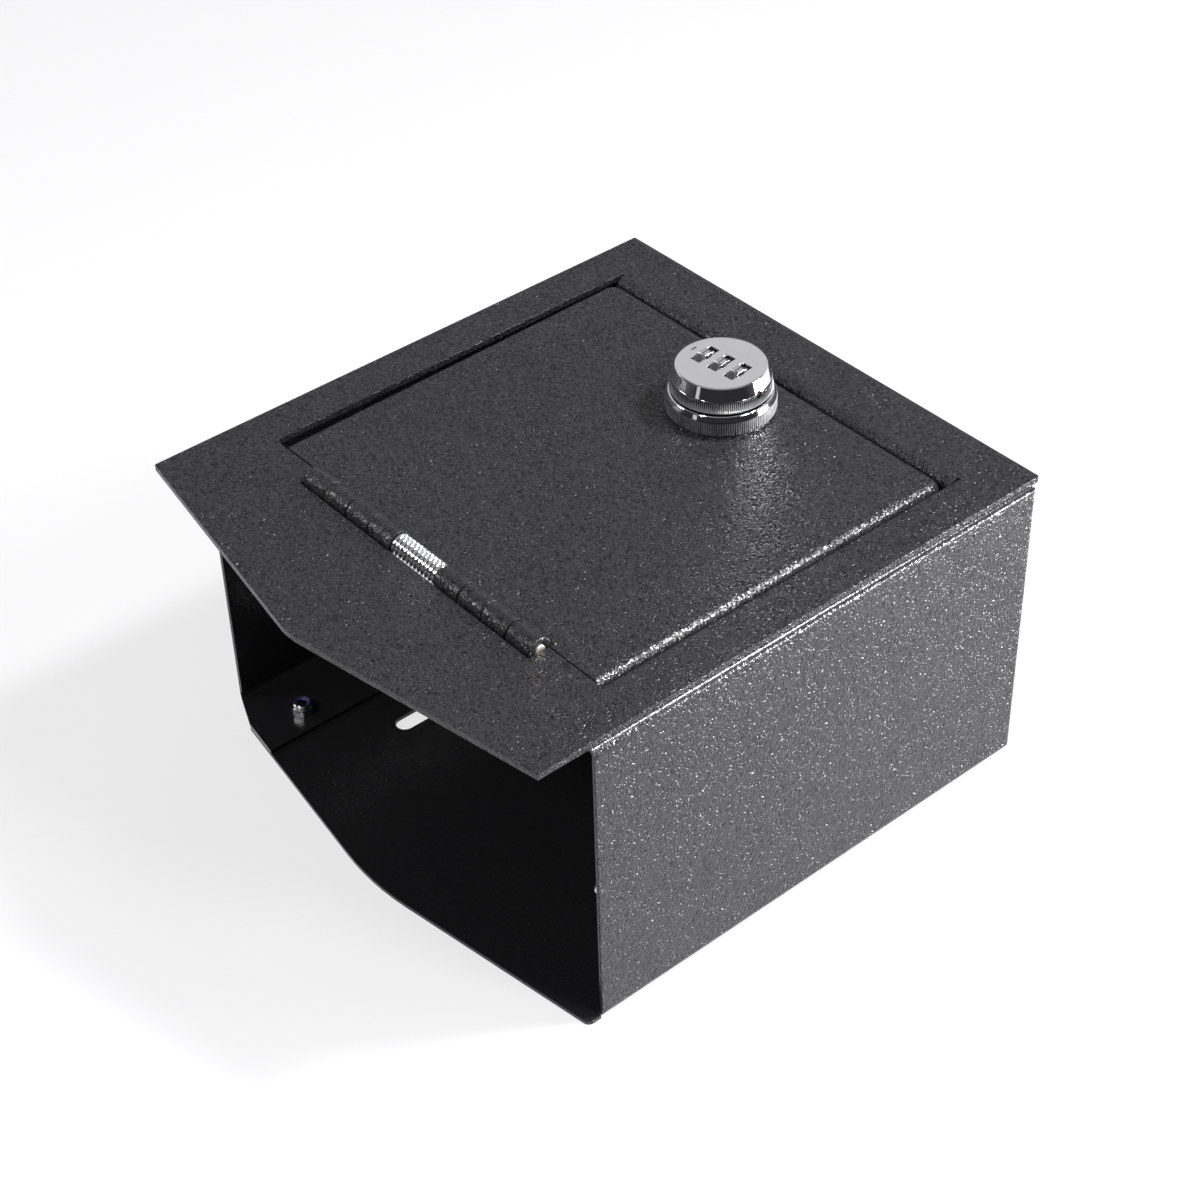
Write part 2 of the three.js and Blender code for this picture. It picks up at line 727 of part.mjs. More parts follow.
function lidPanel() {
  const half = openingWidth / 2;
  const corners = [
    [-half + lidGapLeftHinge, lidFront - lidDepth, 0],
    [half - lidGapRight, lidFront - lidDepth, 0],
    [half - lidGapRight, lidBack, lidCornerRadius],
    [-half + lidGapLeftBack, lidBack, lidCornerRadius],
  ];
  const outsideR = lidBendInside + lidT;
  const rings = [];
  for (let i = 0; i <= arcSteps; i += 1) {
    const angle = (Math.PI / 2) * (1 - i / arcSteps);
    const drop = outsideR * (1 - Math.sin(angle));
    rings.push(level(roundedLoop(corners, outsideR * (1 - Math.cos(angle))), lidTop - drop));
  }
  rings.push(level(roundedLoop(corners), lidTop - lidDepth));
  rings.push(level(roundedLoop(corners, lidT), lidTop - lidDepth));
  for (let i = 0; i <= arcSteps; i += 1) {
    const angle = (Math.PI / 2) * (i / arcSteps);
    const inset = lidT + lidBendInside * (1 - Math.cos(angle));
    rings.push(level(roundedLoop(corners, inset), lidTop - outsideR + lidBendInside * Math.sin(angle)));
  }
  const halfNotch = hingeLength / 2 + hingeClearance;
  const barrelEdge = hingeY + barrelR + hingeClearance;
  const holeR = threadR + lockHoleClearance;
  const holeFlat = threadFlat + lockHoleClearance;
  const low = lidTop - lidDepth - past;
  const high = lidTop + past;
  const lockHole = common(
    rod(holeR, low, high, roundSides, lockX, lockY),
    box(lockX - holeFlat, lockX + holeFlat, lockY - holeR, lockY + holeR, low, high),
  );
  return cut(
    loft(rings.reverse()),
    box(-half, half, lidFront - lidDepth - past, lidFront, low, high),
    box(-halfNotch, halfNotch, lidFront - past, barrelEdge, low, high),
    lockHole,
  );
}

piece('lid_panel', lidPanel(), finishes.coat());

// Lock. Its pieces are drawn about the lock axis, with z = 0 on top of the lid.

const lock = new THREE.Group();
lock.position.set(lockX, lockY, lidTop);
safe.add(lock);
const turning = new THREE.Group();
turning.rotation.z = knobRestTurn;
lock.add(turning);

function lockBody() {
  const head = knurled([
    [ringFootR, 0],
    [ringFootR, ringFootT],
    [ringR, ringFootT + knurlRunout, knurlDepth],
    [ringR, ringRimZ - knurlRunout, knurlDepth],
    [ringR - knurlDepth, ringRimZ],
    [ringTopR + rimBreak, ringTopZ - rimBreak],
    [ringTopR, ringTopZ],
  ]);
  const barrel = turned([
    [0, threadEnd], [threadR - rimBreak, threadEnd], [threadR, threadEnd + rimBreak],
    [threadR, ringFootT], [0, ringFootT],
  ]);
  const betweenFlats = box(-threadFlat, threadFlat, -threadR, threadR, threadEnd, ringFootT);
  return cut(
    joined(head, common(barrel, betweenFlats)),
    rod(rotorR + rotorClearance, pocketFloor, ringTopZ + past),
    rod(spindleR + rotorClearance, threadEnd - past, ringTopZ),
  );
}

// Digit wheels stand side by side on one axle, level with the middle of the knob's windows.
const wheelXs = Array.from({ length: wheelCount }, (_, i) => (i - (wheelCount - 1) / 2) * wheelPitch);
const axleStart = wheelXs[0] - wheelPitch / 2 - wheelClearance;

function lockKnob() {
  const flankTop = knobShoulderR + knurlDepth / 4;
  const cap = knurled([
    [knobR - rimBreak, skirtZ],
    [knobR, skirtZ + rimBreak],
    [knobR, skirtZ + 2 * rimBreak],
    [knobR, skirtZ + 2 * rimBreak + knurlRunout, knurlDepth],
    [flankTop, knobShoulderZ - knurlRunout, knurlDepth],
    [knobShoulderR, knobShoulderZ],
    [knobFaceR + knobEdge / 3, knobFaceZ - knobEdge],
    [knobFaceR - knobEdge, knobFaceZ],
  ]);
  const boss = rod(rotorR, bossBottomZ, skirtZ + rimBreak);
  const slotHalf = wheelT / 2 + wheelSideGap;
  const windowHalf = wheelT / 2 + windowSideGap;
  const pocketHalf = wheelR + wheelClearance;
  const skinZ = knobFaceZ - windowSkin;
  const cutters = wheelXs.flatMap((x) => [
    box(x - slotHalf, x + slotHalf, -pocketHalf, pocketHalf, bossBottomZ - past, skinZ),
    box(x - windowHalf, x + windowHalf, -windowLength / 2, windowLength / 2, wheelAxisZ, knobFaceZ + past),
  ]);
  return cut(
    joined(cap, boss),
    ...cutters,
    axleRod(axleR + fitGap, axleStart - fitGap, knobR + past),
    box(-markX - markWidth / 2, -markX + markWidth / 2, -markLength / 2, markLength / 2,
      knobFaceZ - markDepth, knobFaceZ + past),
  );
}

function axleRod(radius, x0, x1) {
  return rod(radius, x0, x1, smallSides).rotateY(Math.PI / 2).translate(0, 0, wheelAxisZ);
}

function digitWheel(x) {
  const loop = [];
  const step = (2 * Math.PI) / wheelDigits;
  for (let i = 0; i < wheelDigits; i += 1) {
    const middle = Math.PI / 2 + i * step;
    const tooth = [[wheelR, -wheelFaceAngle], [wheelR, wheelFaceAngle], [wheelR - wheelNotch, step / 2]];
    tooth.forEach(([r, angle]) => {
      loop.push(new THREE.Vector2(r * Math.cos(middle + angle), wheelAxisZ + r * Math.sin(middle + angle)));
    });
  }
  return cut(
    alongX(new THREE.Shape(loop), x - wheelT / 2, x + wheelT / 2),
    axleRod(axleR + wheelClearance, x - wheelT, x + wheelT),
  );
}

function spindle() {
  const squareTop = threadEnd + fitGap;
  const squareEnd = camBottomZ + fitGap;
  const body = turned([
    [0, squareTop], [spindleR, squareTop], [spindleR, discBottomZ], [rotorR, discBottomZ],
    [rotorR, discTopZ], [0, discTopZ],
  ], roundSides);
  const square = alongZ(regularPolygon(squareAcross, 4), squareEnd, discBottomZ);
  return cut(
    joined(body, square),
    rod(camScrewR + fitGap, squareEnd - past, screwSeatZ + camScrewGrip + fitGap, smallSides),
    box(-detentBaseLength / 2 - fitGap, detentBaseLength / 2 + fitGap, -detentBaseWidth / 2 - fitGap,
      detentBaseWidth / 2 + fitGap, discTopZ - detentRecess, discTopZ + past),
  );
}

// A strip with one arched finger under each wheel.
function detentLeaf() {
  const seat = discTopZ - detentRecess;
  const crown = wheelAxisZ - wheelR - fitGap;
  const halfArch = detentBaseWidth / 2 - detentT;
  const rise = crown - detentT - seat;
  const strip = box(-detentBaseLength / 2, detentBaseLength / 2, -detentBaseWidth / 2, detentBaseWidth / 2,
    seat, seat + detentT);
  const arch = (lift) => Array.from({ length: detentSteps + 1 }, (_, i) => {
    const y = halfArch * ((2 * i) / detentSteps - 1);
    const share = (1 + Math.cos((Math.PI * y) / halfArch)) / 2;
    return new THREE.Vector2(y, seat + lift + rise * share);
  });
  const section = new THREE.Shape([...arch(0), ...arch(detentT).reverse()]);
  const fingers = wheelXs.map((x) => alongX(section, x - detentWidth / 2, x + detentWidth / 2));
  return joined(strip, ...fingers);
}

// The cam points nearly along the hinge at rest and swings under the strike flange.
function cam() {
  const outline = new THREE.Shape();
  const lean = Math.asin((camHeadR - camTipR) / (camReach - camTipR));
  const tipX = camReach - camTipR;
  const turn = Math.PI / 2 - lean;
  outline.absarc(0, 0, camHeadR, turn, 2 * Math.PI - turn, false);
  outline.absarc(tipX, 0, camTipR, -turn, turn, false);
  outline.holes.push(regularPolygon(squareAcross + 2 * fitGap, 4));
  return alongZ(outline, camBottomZ, camTopZ, smallSides);
}

function camScrew() {
  const head = alongZ(regularPolygon(camScrewAcross, 6), screwSeatZ - camScrewHeadT, screwSeatZ);
  return joined(head, rod(camScrewR, screwSeatZ - camScrewHeadT / 2, screwSeatZ + camScrewGrip, smallSides));
}

const lockNutSeat = -lidT - lockWasherT;

function lockWasher() {
  return ring(lockWasherR, threadR + fitGap, lockNutSeat, -lidT, roundSides);
}

function lockNut() {
  const hex = alongZ(regularPolygon(lockNutAcross, 6), lockNutSeat - lockNutT, lockNutSeat);
  return cut(hex, rod(threadR + fitGap, lockNutSeat - lockNutT - past, lockNutSeat + past));
}

function camWasher() {
  return ring(camWasherR, camScrewR + fitGap, screwSeatZ, camBottomZ, smallSides);
}

piece('lock_body', lockBody(), finishes.chrome(), lock);
piece('lock_washer', lockWasher(), finishes.zinc(), lock);
piece('lock_nut', lockNut(), finishes.zinc(), lock);
piece('lock_knob', lockKnob(), finishes.chrome(), turning);
piece('spindle', spindle(), finishes.steel(), turning);
piece('detent_leaf', detentLeaf(), finishes.steel(), turning);
piece('wheel_axle', axleRod(axleR, axleStart, knobShoulderR - axleRecess), finishes.brass(), turning);
wheelXs.forEach((x, i) => piece(`digit_wheel_${i + 1}`, digitWheel(x), finishes.chrome(), turning));
piece('cam', cam(), finishes.zinc(), turning);
piece('cam_washer', camWasher(), finishes.zinc(), turning);
piece('cam_screw', camScrew(), finishes.zinc(), turning);

export default safe;
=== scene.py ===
"""The looks of a console safe: wrinkle-coated steel, a sprung hinge and a chromed combination lock."""

import json
import math

import bmesh
import bpy
from mathutils import Matrix, Vector


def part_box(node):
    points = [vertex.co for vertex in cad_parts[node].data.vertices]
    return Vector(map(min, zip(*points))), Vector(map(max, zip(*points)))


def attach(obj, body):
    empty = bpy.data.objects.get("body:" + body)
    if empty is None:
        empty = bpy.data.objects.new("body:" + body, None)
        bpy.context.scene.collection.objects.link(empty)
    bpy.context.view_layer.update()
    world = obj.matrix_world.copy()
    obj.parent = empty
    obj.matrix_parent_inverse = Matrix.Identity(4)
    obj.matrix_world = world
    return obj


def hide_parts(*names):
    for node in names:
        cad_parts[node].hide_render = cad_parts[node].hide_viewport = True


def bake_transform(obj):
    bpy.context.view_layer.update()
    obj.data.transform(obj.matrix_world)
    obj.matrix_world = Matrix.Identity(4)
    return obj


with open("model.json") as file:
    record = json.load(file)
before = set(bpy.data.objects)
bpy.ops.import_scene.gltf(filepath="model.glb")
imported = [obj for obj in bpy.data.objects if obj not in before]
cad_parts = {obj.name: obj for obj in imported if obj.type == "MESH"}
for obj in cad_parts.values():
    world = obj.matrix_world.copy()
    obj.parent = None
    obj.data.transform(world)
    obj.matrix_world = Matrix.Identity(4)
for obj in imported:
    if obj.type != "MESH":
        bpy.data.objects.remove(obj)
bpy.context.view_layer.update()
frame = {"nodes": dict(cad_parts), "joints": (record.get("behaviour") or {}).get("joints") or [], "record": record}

MM = 0.001
FULL_TURN = math.tau
SIDES = 96
SMALL_SIDES = 48
CRISP = math.radians(40)

BODY_OF = {
    node: body
    for body, nodes in frame["record"]["behaviour"]["bodies"].items()
    for node in nodes
}
JOINT = {joint["name"]: joint for joint in frame["joints"]}
HINGE = Vector(JOINT["lid_hinge"]["pos_m"])
LOCK = Vector(JOINT["knob_turn"]["pos_m"])
LID_TOP = LOCK.z

# Two corners of the space in the box, where the coat is thinner
INSIDE_LOW = (-0.1008, -0.1150, 0.0008)
INSIDE_HIGH = (0.1008, 0.1125, 0.1145)

# Bottom, top and tip radius of the knurls on the lock's ring and on its cap
KNURLS = ((0.1183, 0.1245, 0.01905), (0.1272, 0.1313, 0.01735))

# The inputs and the output that a Mix node uses for colours
MIX_SHARE, MIX_FIRST, MIX_SECOND = 0, 6, 7
MIX_RESULT = 2

SHADER_INPUTS = {
    "colour": "Base Color",
    "metallic": "Metallic",
    "roughness": "Roughness",
    "normal": "Normal",
    "gloss": "Specular IOR Level",
    "glow": "Emission Strength",
    "glow_colour": "Emission Color",
}


def low(node):
    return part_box(node)[0]


def high(node):
    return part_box(node)[1]


def middle(node):
    return (low(node) + high(node)) / 2


# Materials


class Socket:
    """A value of a material's nodes. Arithmetic on it adds Math nodes."""

    def __init__(self, finish, link):
        self.finish = finish
        self.link = link

    def math(self, operation, *values):
        inputs = dict(enumerate(values))
        return self.finish.node("ShaderNodeMath", inputs, operation=operation)

    def __add__(self, other):
        return self.math("ADD", self, other)

    def __radd__(self, other):
        return self.math("ADD", other, self)

    def __sub__(self, other):
        return self.math("SUBTRACT", self, other)

    def __rsub__(self, other):
        return self.math("SUBTRACT", other, self)

    def __mul__(self, other):
        return self.math("MULTIPLY", self, other)

    def __rmul__(self, other):
        return self.math("MULTIPLY", other, self)

    def __abs__(self):
        return self.math("ABSOLUTE", self)

    def above(self, level):
        return self.math("GREATER_THAN", self, level)

    def between(self, start, end):
        """0 below start, 1 above end, and smooth between them."""
        inputs = {"Value": self, "From Min": start, "From Max": end}
        return self.finish.node(
            "ShaderNodeMapRange", inputs, interpolation_type="SMOOTHSTEP"
        )

    def held(self, start, end):
        """1 from start to end, and 0 elsewhere."""
        return self.above(start) * (1 - self.above(end))

    def rising(self, start, full, end):
        """Smoothly up from 0 at start to 1 at full, and 0 again past end."""
        return self.between(start, full) * (1 - self.above(end))


class Finish:
    """A material, or the world, and the way its nodes are added."""

    def __init__(self, name, owner=None):
        self.material = owner or bpy.data.materials.new(name)
        self.material.use_nodes = True
        self.tree = self.material.node_tree
        self.shader = self.tree.nodes["Background" if owner else "Principled BSDF"]

    def node(self, kind, inputs, output=0, **settings):
        made = self.tree.nodes.new(kind)
        for name, value in settings.items():
            setattr(made, name, value)
        for name, value in inputs.items():
            self.put(made.inputs[name], value)
        return Socket(self, made.outputs[output])

    def put(self, target, value):
        if isinstance(value, Socket):
            self.tree.links.new(value.link, target)
        else:
            target.default_value = value

    def place(self, scale=(1, 1, 1), turn=(0, 0, 0)):
        """The point's place in the object's own metres."""
        where = self.node("ShaderNodeTexCoord", {}, output="Object")
        inputs = {"Vector": where, "Rotation": turn, "Scale": scale}
        return self.node("ShaderNodeMapping", inputs)

    def coordinate(self, where, axis):
        return self.node("ShaderNodeSeparateXYZ", {"Vector": where}, output=axis)

    def vector_math(self, operation, *values, output="Vector"):
        inputs = dict(enumerate(values))
        return self.node("ShaderNodeVectorMath", inputs, output, operation=operation)

    def noise(self, where, size, detail=2.0, roughness=0.5, distortion=0.0):
        """Values about 0.5, in blotches of about the size given in metres."""
        inputs = {
            "Vector": where, "Scale": 1 / size, "Detail": detail,
            "Roughness": roughness, "Distortion": distortion,
        }
        return self.node("ShaderNodeTexNoise", inputs, output="Fac")

    def within(self, where, lowest, highest):
        """1 inside the box between two corners, and 0 outside it."""
        share = 1.0
        for axis, first, last in zip("XYZ", lowest, highest):
            share = share * self.coordinate(where, axis).held(first, last)
        return share

    def blend(self, share, first, second):
        """The colour first where share is 0, and second where it is 1."""
        colours = [
            colour if isinstance(colour, Socket) else (*colour, 1)
            for colour in (first, second)
        ]
        inputs = dict(zip((MIX_SHARE, MIX_FIRST, MIX_SECOND), (share, *colours)))
        return self.node("ShaderNodeMix", inputs, MIX_RESULT, data_type="RGBA")

    def bump(self, height, depth):
        return self.node("ShaderNodeBump", {"Height": height, "Distance": depth})

    def set(self, **values):
        for name, value in values.items():
            self.put(self.shader.inputs[SHADER_INPUTS[name]], value)


def calm_places(coat, where):
    """Where the coat's relief is lower outside the box, with the share that it loses there."""
    across, along, up = (coat.coordinate(where, axis) for axis in "XYZ")
    lid_edge = high("lid_panel").x
    wall_edge, wall_back, wall_top = high("main_shell")
    beside_lid = along.held(low("lid_panel").y, high("lid_panel").y)
    lid_bend = across.rising(lid_edge - 4 * MM, lid_edge - 1.5 * MM, lid_edge + 0.5 * MM)
    wall_bend = up.rising(wall_top - 5 * MM, wall_top - 2 * MM, wall_top + 0.05 * MM)
    lid_bend = lid_bend * beside_lid * up.above(wall_top)
    wall_bend = wall_bend * across.above(wall_edge - 3.6 * MM)
    back = along.above(wall_back - 0.3 * MM)
    under = up.held(INSIDE_HIGH[2], wall_top + 0.2 * MM)
    return (lid_bend + wall_bend, 0.7), (back, 0.6), (under, 0.6)


def wrinkle_coat(name, relief):
    """Black powder coat in small leathery wrinkles with painted highlights on their crests, thinner and smoother
    in the box.
    """
    coat = Finish(name)
    where = coat.place()
    swell = coat.noise(where, 3.5 * MM, detail=1.0)
    wrinkle = coat.noise(where, 1.25 * MM, detail=0.6, roughness=0.4, distortion=0.7)
    ridge = 1 - abs(wrinkle * 2 - 1)
    crest = ridge.between(0.4, 1.0)
    inside = coat.within(where, INSIDE_LOW, INSIDE_HIGH)
    height = ridge + swell * 0.6
    for place, loss in ((inside, 0.85), *calm_places(coat, where)):
        height = height * (1 - place * loss)
    # The crests are painted lighter than the troughs: a painted highlight along each ridge. In the box the colour
    # is held even.
    coat.set(
        colour=coat.blend(
            crest * (1 - inside) + inside * 0.5,
            (0.004, 0.0039, 0.0043), (0.02, 0.0193, 0.021),
        ),
        roughness=0.2 - crest * 0.04 + swell * 0.06 - inside * 0.08,
        normal=coat.bump(height, relief),
        gloss=0.37,
    )
    return coat.material


def chrome(name="bright_chrome", roughness=0.035, tint=(0.8, 0.8, 0.815), knurls=()):
    """Polished chrome with a trace of orange peel, painted dark in a knurl's grooves as painted shade, and duller
    on its tips.
    """
    plate = Finish(name)
    where = plate.place()
    haze = plate.noise(where, 7 * MM, detail=3.0)
    peel = plate.noise(where, 1.6 * MM, detail=1.0)
    darker = tuple(part * 0.93 for part in tint)
    up = plate.coordinate(where, "Z")
    offset = plate.vector_math("SUBTRACT", where, (LOCK.x, LOCK.y, 0))
    flat = plate.vector_math("MULTIPLY", offset, (1, 1, 0))
    radius = plate.vector_math("LENGTH", flat, output="Value")
    tips, groove_shade = 0.0, 0.0
    for bottom, top, tip_radius in knurls:
        band = up.held(bottom, top) * radius.above(tip_radius - 1.2 * MM)
        tip = radius.between(tip_radius - 0.36 * MM, tip_radius - 0.04 * MM)
        tips = tips + band * tip
        groove_shade = groove_shade + band * (1 - tip)
    # The knurls' grooves get a dark grey colour: painted shade in the recesses.
    plate.set(
        colour=plate.blend(groove_shade, plate.blend(haze, darker, tint), (0.1, 0.1, 0.104)),
        metallic=1.0,
        roughness=roughness + haze * 0.03 + tips * 0.3,
        normal=plate.bump(peel, 0.008 * MM),
    )
    return plate.material


def bright_steel():
    """Plated spring wire, with a faint haze."""
    steel = Finish("bright_steel")
    where = steel.place()
    haze = steel.noise(where, 2.5 * MM, detail=2.0)
    steel.set(
        colour=steel.blend(haze, (0.72, 0.72, 0.735), (0.86, 0.86, 0.875)),
        metallic=1.0,
        roughness=0.07 + haze * 0.08,
    )
    return steel.material


def cut_steel():
    """The sawn, slightly warm steel of the pin, with lines across it."""
    steel = Finish("cut_steel")
    line = steel.noise(steel.place(scale=(1, 1, 9), turn=(0.6, 0, 0)), 0.9 * MM, detail=2.0)
    steel.set(
        colour=steel.blend(line.between(0.35, 0.65), (0.36, 0.31, 0.27), (0.7, 0.64, 0.58)),
        metallic=1.0,
        roughness=0.42 + line * 0.15,
        normal=steel.bump(line, 0.03 * MM),
    )
    return steel.material


def zinc_plate():
    """Bright zinc on the fasteners and the cam, slightly blue, with blotches."""
    zinc = Finish("zinc_plate")
    where = zinc.place()
    blotch = zinc.noise(where, 3 * MM, detail=3.0, distortion=0.4)
    scratch = zinc.noise(zinc.place(scale=(1, 6, 6)), 1.2 * MM, detail=2.0)
    zinc.set(
        colour=zinc.blend(blotch.between(0.3, 0.7), (0.66, 0.67, 0.71), (0.84, 0.84, 0.83)),
        metallic=1.0,
        roughness=0.07 + scratch * 0.1,
        normal=zinc.bump(scratch, 0.015 * MM),
    )
    return zinc.material


def drawn_brass():
    brass = Finish("drawn_brass")
    where = brass.place()
    tarnish = brass.noise(where, 1.5 * MM, detail=2.0)
    brass.set(
        colour=brass.blend(tarnish, (0.62, 0.4, 0.2), (0.8, 0.58, 0.3)),
        metallic=1.0,
        roughness=0.2 + tarnish * 0.15,
    )
    return brass.material


def blue_nylon():
    nylon = Finish("blue_nylon")
    where = nylon.place()
    cloud = nylon.noise(where, 1.2 * MM, detail=2.0)
    nylon.set(
        colour=nylon.blend(cloud, (0.008, 0.011, 0.08), (0.02, 0.028, 0.17)),
        roughness=0.4 + cloud * 0.15,
    )
    return nylon.material


def black_fill():
    """Paint of the figures on the wheels."""
    paint = Finish("black_fill")
    where = paint.place()
    speck = paint.noise(where, 0.4 * MM, detail=2.0)
    paint.set(
        colour=paint.blend(speck, (0.006, 0.006, 0.007), (0.014, 0.014, 0.015)),
        roughness=0.35 + speck * 0.2,
    )
    return paint.material


COAT = wrinkle_coat("wrinkle_coat", 0.46 * MM)
THIN_COAT = wrinkle_coat("thin_wrinkle_coat", 0.26 * MM)
CHROME = chrome(knurls=KNURLS)
WHEEL_CHROME = chrome("wheel_chrome", roughness=0.12, tint=(0.62, 0.62, 0.66))
STEEL = bright_steel()
CUT_STEEL = cut_steel()
ZINC = zinc_plate()
BRASS = drawn_brass()
NYLON = blue_nylon()
FILL = black_fill()


# Making and placing pieces


def soften(bm, limit):
    """Smooth faces, with every edge that turns more than limit kept crisp."""
    for face in bm.faces:
        face.smooth = True
    for edge in bm.edges:
        edge.smooth = edge.calc_face_angle(0) < limit


def add_piece(bm, name, body, material, stands_for=(), crisp=CRISP):
    soften(bm, crisp)
    mesh = bpy.data.meshes.new(name)
    bm.to_mesh(mesh)
    bm.free()
    mesh.materials.append(material)
    made = bpy.data.objects.new(name, mesh)
    bpy.context.scene.collection.objects.link(made)
    even = made.modifiers.new("even_shading", "WEIGHTED_NORMAL")
    even.keep_sharp = True
    if body:
        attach(made, body)
    if stands_for:
        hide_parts(*stands_for)
    return made


def bevel_edges(bm, edges, width, segments=2):
    bmesh.ops.bevel(
        bm, geom=edges, offset=width, offset_type="OFFSET", affect="EDGES",
        segments=segments, profile=0.5, material=-1, clamp_overlap=True,
    )


def refined(node, material, edge, segments=2):
    """A node's solid with its flat faces whole and its edges broken, so that they catch the light."""
    bm = bmesh.new()
    bm.from_mesh(frame["nodes"][node].data)
    bmesh.ops.remove_doubles(bm, verts=bm.verts, dist=0.001 * MM)
    bmesh.ops.dissolve_limit(
        bm, angle_limit=math.radians(0.5), verts=bm.verts, edges=bm.edges
    )
    if edge:
        corners = [e for e in bm.edges if e.is_manifold and e.calc_face_angle() > CRISP]
        bevel_edges(bm, corners, edge, segments)
    return add_piece(bm, f"{node}_piece", BODY_OF[node], material, [node])


def spin_round(bm, geometry, steps, angle=FULL_TURN, lead=0.0):
    """Turns geometry about Z. lead is how far it climbs in all."""
    bmesh.ops.spin(
        bm, geom=geometry, cent=(0, 0, 0), axis=(0, 0, 1), dvec=(0, 0, lead / steps),
        angle=angle, steps=steps, use_merge=lead == 0, use_duplicate=False,
    )
    bmesh.ops.remove_doubles(bm, verts=bm.verts, dist=0.0005 * MM)
    bmesh.ops.recalc_face_normals(bm, faces=bm.faces)


def profile_line(bm, profile):
    verts = [bm.verts.new((r, 0, z)) for r, z in profile]
    return verts + [bm.edges.new(pair) for pair in zip(verts, verts[1:])]


def turned(profile, steps=SIDES, at=(0, 0, 0), along_x=False):
    """A turning from (radius, height) points, about Z, or about X with its height along +X."""
    bm = bmesh.new()
    spin_round(bm, profile_line(bm, profile), steps)
    place = Matrix.Rotation(math.pi / 2, 4, "Y") if along_x else Matrix.Identity(4)
    bm.transform(Matrix.Translation(at) @ place)
    return bm


def threaded(radius, pitch, depth, bottom, top, x, y, steps=32):
    """A rod with a helical thread, closed at both ends."""
    bm = bmesh.new()
    root = radius - depth
    turns = math.ceil((top - bottom) / pitch) + 2
    start = bottom - pitch
    tooth = [(root, start), (root, start + pitch * 0.1), (radius, start + pitch * 0.45),
             (radius, start + pitch * 0.6), (root, start + pitch)]
    geometry = profile_line(bm, tooth)
    spin_round(bm, geometry, steps * turns, FULL_TURN * turns, pitch * turns)
    for height, normal in ((bottom, (0, 0, -1)), (top, (0, 0, 1))):
        bmesh.ops.bisect_plane(
            bm, geom=bm.verts[:] + bm.edges[:] + bm.faces[:], dist=0.0001 * MM,
            plane_co=(0, 0, height), plane_no=normal, clear_outer=True,
        )
    rims = [e for e in bm.edges if e.is_boundary]
    bmesh.ops.holes_fill(bm, edges=rims, sides=0)
    bmesh.ops.recalc_face_normals(bm, faces=bm.faces)
    bm.transform(Matrix.Translation((x, y, 0)))
    return bm


def corner_radius(sides, across):
    """How far the corners lie from the middle of a shape that is so far across its flats."""
    return across / 2 / math.cos(math.pi / sides)


def prism(sides, across, bottom, top, x, y):
    bm = bmesh.new()
    radius = corner_radius(sides, across)
    bmesh.ops.create_cone(
        bm, cap_ends=True, segments=sides, radius1=radius, radius2=radius, depth=top - bottom
    )
    bm.transform(Matrix.Translation((x, y, (bottom + top) / 2)))
    return bm


def block(lowest, highest):
    bm = bmesh.new()
    size = Vector(highest) - Vector(lowest)
    centre = (Vector(highest) + Vector(lowest)) / 2
    bmesh.ops.create_cube(bm, size=1)
    bm.transform(Matrix.Translation(centre) @ Matrix.Diagonal((*size, 1)))
    return bm


def combined(first, second, operation):
    """The union, difference or intersection of two closed meshes."""
    objects = []
    for bm in (first, second):
        mesh = bpy.data.meshes.new("working")
        bm.to_mesh(mesh)
        bm.free()
        objects.append(bpy.data.objects.new("working", mesh))
        bpy.context.scene.collection.objects.link(objects[-1])
    cutter = objects[0].modifiers.new("cut", "BOOLEAN")
    cutter.operation = operation
    cutter.solver = "EXACT"
    cutter.object = objects[1]
    ready = objects[0].evaluated_get(bpy.context.evaluated_depsgraph_get())
    bm = bmesh.new()
    bm.from_mesh(ready.to_mesh())
    ready.to_mesh_clear()
    for made in objects:
        mesh = made.data
        bpy.data.objects.remove(made)
        bpy.data.meshes.remove(mesh)
    return bm


def hexagon(across, bottom, top, profile, x, y):
    """A hexagonal prism, trimmed to a turning."""
    trim = turned(profile, SIDES, (x, y, 0))
    return combined(prism(6, across, bottom, top, x, y), trim, "INTERSECT")


def joined(first, second):
    """Two meshes in one piece, each with its own surface."""
    mesh = bpy.data.meshes.new("working")
    second.to_mesh(mesh)
    second.free()
    first.from_mesh(mesh)
    bpy.data.meshes.remove(mesh)
    return first


# Folded steel


for sheet in ("face_plate", "main_shell", "left_wall", "lid_panel"):
    refined(sheet, COAT, edge=0.25 * MM)
for fold in ("hinge_frame_leaf", "hinge_lid_leaf", "lid_rest_left", "lid_rest_right"):
    refined(fold, THIN_COAT, edge=0.38 * MM, segments=3)


# Hinge pin and spring


WIRE_R = 0.94 * MM
COILS = 12
COIL_STEPS = 32
WIRE_SIDES = 16

# Shares of a turn: level at each end of the wire, and crossing over to the next coil
END_TURN = 0.875
CROSS_TURN = 0.25

# How far the wire reaches past the CAD solid at each side
END_REACH = 0.15 * MM


def hinge_pin():
    start, end = low("hinge_pin").x, high("hinge_pin").x
    radius = (high("hinge_pin").z - low("hinge_pin").z) / 2
    edge = 0.35 * MM
    profile = [
        (0, start), (radius - edge, start), (radius, start + edge),
        (radius, end - edge), (radius - edge, end), (0, end),
    ]
    pin = turned(profile, SMALL_SIDES, (0, HINGE.y, HINGE.z), along_x=True)
    add_piece(pin, "hinge_pin_piece", "box", CUT_STEEL, ["hinge_pin"])


